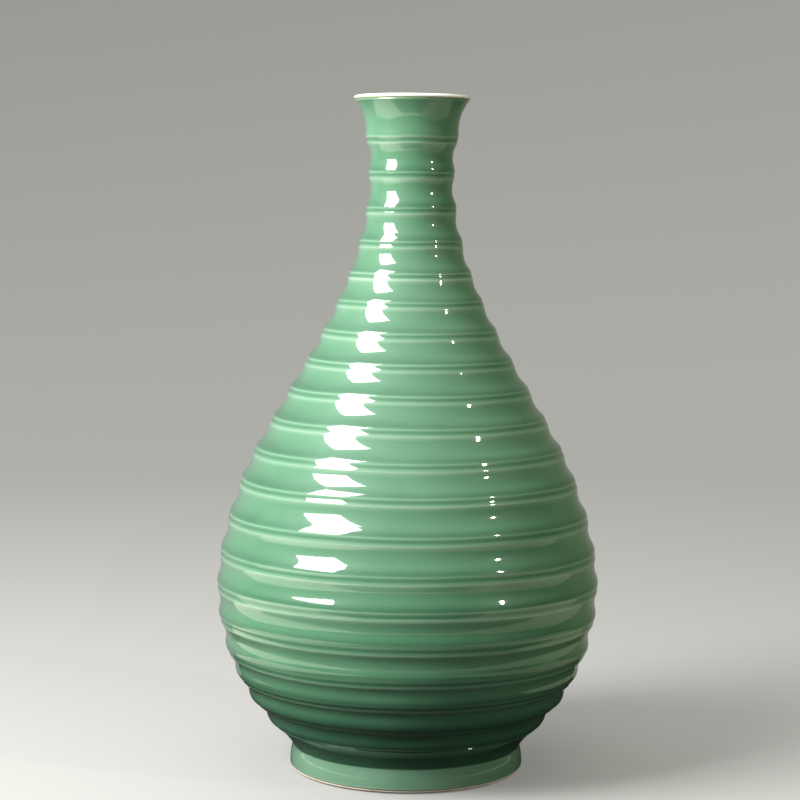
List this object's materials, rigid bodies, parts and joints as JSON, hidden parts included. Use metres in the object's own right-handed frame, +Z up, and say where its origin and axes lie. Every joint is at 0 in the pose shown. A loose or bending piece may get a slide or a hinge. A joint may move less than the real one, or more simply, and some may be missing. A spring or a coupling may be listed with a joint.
{
  "type": "vase",
  "caption": "Tall pear-shaped porcelain bottle vase with turned rings, celadon glaze, a flared white lip and a bare-edged foot ring.",
  "frame": {"origin": "centre of the foot ring's resting face", "axes": "+Z up along the axis of the vase to the mouth; the vase is a body of revolution, so +X and +Y are alike"},
  "size_m": [0.2392, 0.2392, 0.42],
  "materials": {
    "porcelain_body": "unglazed fired porcelain, fine matt grain",
    "slip": "fired luting slip, matt",
    "celadon_glaze": "deep glossy celadon glaze, paler where it thins on the ring edges",
    "inner_glaze": "thin pale celadon glaze, glossy",
    "lip_glaze": "thin white glaze, glossy"
  },
  "bodies": {
    "root": {"foot_ring": "porcelain_body", "lower_body": "porcelain_body", "upper_body": "porcelain_body", "neck": "porcelain_body", "foot_slip": "slip", "belly_slip": "slip", "neck_slip": "slip", "outer_glaze": "celadon_glaze", "inner_glaze": "inner_glaze", "base_glaze": "inner_glaze", "lip_glaze": "lip_glaze"}
  },
  "joints": []
}
